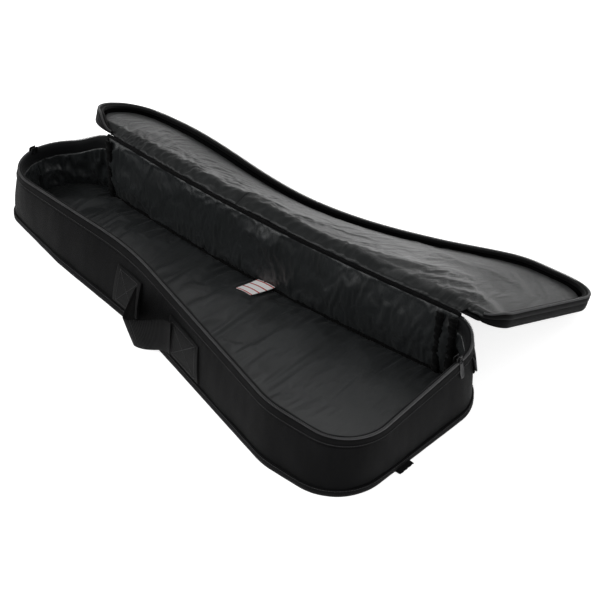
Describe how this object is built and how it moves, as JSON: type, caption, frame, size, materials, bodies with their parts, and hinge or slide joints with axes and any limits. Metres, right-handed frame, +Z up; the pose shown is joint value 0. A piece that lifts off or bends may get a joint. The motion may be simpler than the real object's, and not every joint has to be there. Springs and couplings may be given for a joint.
{
  "type": "padded gig bag",
  "caption": "Long narrow padded instrument bag, open, its lined lid folded back; side handle, coil zip, strap rings and a flat pocket.",
  "frame": {"origin": "middle of the flat underside of the bag, on the floor", "axes": "+X along the bag from the narrow end to the wide end, +Y from the near side to the spine and its lid, +Z up"},
  "size_m": [0.8068, 0.5337, 0.1253],
  "materials": {
    "shell_fabric": "black woven nylon, matt with a faint sheen",
    "lining": "dark grey satin nylon, wrinkled",
    "foam": "closed-cell foam, hidden",
    "webbing": "black ribbed webbing and grosgrain tape",
    "zip_coil": "nylon coil",
    "dark_metal": "black coated metal",
    "woven_label": "white woven satin label"
  },
  "bodies": {
    "bag": {"base_binding": "webbing", "base_foam": "foam", "base_lining": "lining", "base_outer": "shell_fabric", "body_zip_coil": "zip_coil", "body_zip_tape": "webbing", "floor_seam": "webbing", "fold_strip": "webbing", "foot_tab": "webbing", "handle_patch_narrow": "webbing", "handle_patch_wide": "webbing", "rim_facing": "webbing", "ruffle_narrow": "lining", "ruffle_wide": "lining", "spine_foam": "foam", "spine_lining": "lining", "spine_outer": "shell_fabric", "strap_tab_narrow": "webbing", "strap_tab_wide": "webbing", "wall_foam_flare": "foam", "wall_foam_narrow_end": "foam", "wall_foam_waist": "foam", "wall_foam_wide_end": "foam", "wall_lining": "lining", "wall_outer": "shell_fabric", "woven_label": "woven_label"},
    "lid": {"lid_foam_narrow": "foam", "lid_foam_wide": "foam", "lid_gusset_narrow": "shell_fabric", "lid_gusset_wide": "shell_fabric", "lid_lining_narrow": "lining", "lid_lining_wide": "lining", "lid_outer_narrow": "shell_fabric", "lid_outer_wide": "shell_fabric", "lid_zip_coil_narrow": "zip_coil", "lid_zip_coil_wide": "zip_coil", "lid_zip_tape_narrow": "webbing", "lid_zip_tape_wide": "webbing", "pocket": "shell_fabric", "pocket_zip_tape": "webbing", "pocket_zip_coil": "zip_coil"},
    "lid_waist": {"lid_foam_waist": "foam", "lid_gusset_waist": "shell_fabric", "lid_lining_waist": "lining", "lid_outer_waist": "shell_fabric", "lid_zip_coil_waist": "zip_coil", "lid_zip_tape_waist": "webbing"},
    "handle": {"handle_loop": "webbing"},
    "ring_wide": {"strap_ring_wide": "dark_metal"},
    "ring_narrow": {"strap_ring_narrow": "dark_metal"},
    "zip_slider_wide": {"slider_wide": "dark_metal"},
    "zip_slider_narrow": {"slider_narrow": "dark_metal"},
    "zip_pull_wide": {"slider_pull_wide": "dark_metal"},
    "zip_pull_narrow": {"slider_pull_narrow": "dark_metal"},
    "pocket_slider": {"pocket_slider": "dark_metal"},
    "pocket_pull": {"pocket_pull": "dark_metal"}
  },
  "joints": [
    {"name": "lid_hinge", "type": "hinge", "parent": "bag", "child": "lid", "pos_m": [0, 0.11, 0.11], "axis": [1, 0, 0], "range_deg": [0, 204]},
    {"name": "lid_waist_flex", "type": "hinge", "parent": "lid", "child": "lid_waist", "pos_m": [0, 0.11, 0.11], "axis": [1, 0, 0], "range_deg": [0, 9.01]},
    {"name": "handle_swing", "type": "hinge", "parent": "bag", "child": "handle", "pos_m": [0.00393, -0.09153, 0.0625], "axis": [-0.9692, 0.2464, 0], "range_deg": [0, 70]},
    {"name": "ring_wide_swing", "type": "hinge", "parent": "bag", "child": "ring_wide", "pos_m": [0.37686, 0.09761, 0.074], "axis": [0.6428, -0.766, 0], "range_deg": [0, 120]},
    {"name": "ring_narrow_swing", "type": "hinge", "parent": "bag", "child": "ring_narrow", "pos_m": [-0.36984, 0.08689, 0.074], "axis": [0.6428, 0.766, 0], "range_deg": [0, 120]},
    {"name": "zip_slide_wide", "type": "slide", "parent": "bag", "child": "zip_slider_wide", "axis": [0, -1, 0], "range_m": [0, 0.155]},
    {"name": "zip_slide_narrow", "type": "slide", "parent": "bag", "child": "zip_slider_narrow", "axis": [0, -1, 0], "range_m": [0, 0.013]},
    {"name": "zip_pull_wide_swing", "type": "hinge", "parent": "zip_slider_wide", "child": "zip_pull_wide", "pos_m": [0.38742, 0.057, 0.0898], "axis": [0, -1, 0], "range_deg": [0, 150]},
    {"name": "zip_pull_narrow_swing", "type": "hinge", "parent": "zip_slider_narrow", "child": "zip_pull_narrow", "pos_m": [-0.38742, 0.027, 0.0898], "axis": [0, 1, 0], "range_deg": [0, 150]},
    {"name": "pocket_zip_slide", "type": "slide", "parent": "lid", "child": "pocket_slider", "axis": [-1, 0, 0], "range_m": [0, 0.19]},
    {"name": "pocket_pull_swing", "type": "hinge", "parent": "pocket_slider", "child": "pocket_pull", "pos_m": [0.3155, 0.15485, 0.07306], "axis": [0, -0.9135, 0.4067], "range_deg": [0, 120]}
  ],
  "couplings": [
    {"joint": "lid_waist_flex", "follows": "lid_hinge", "ratio": 0.04412}
  ]
}
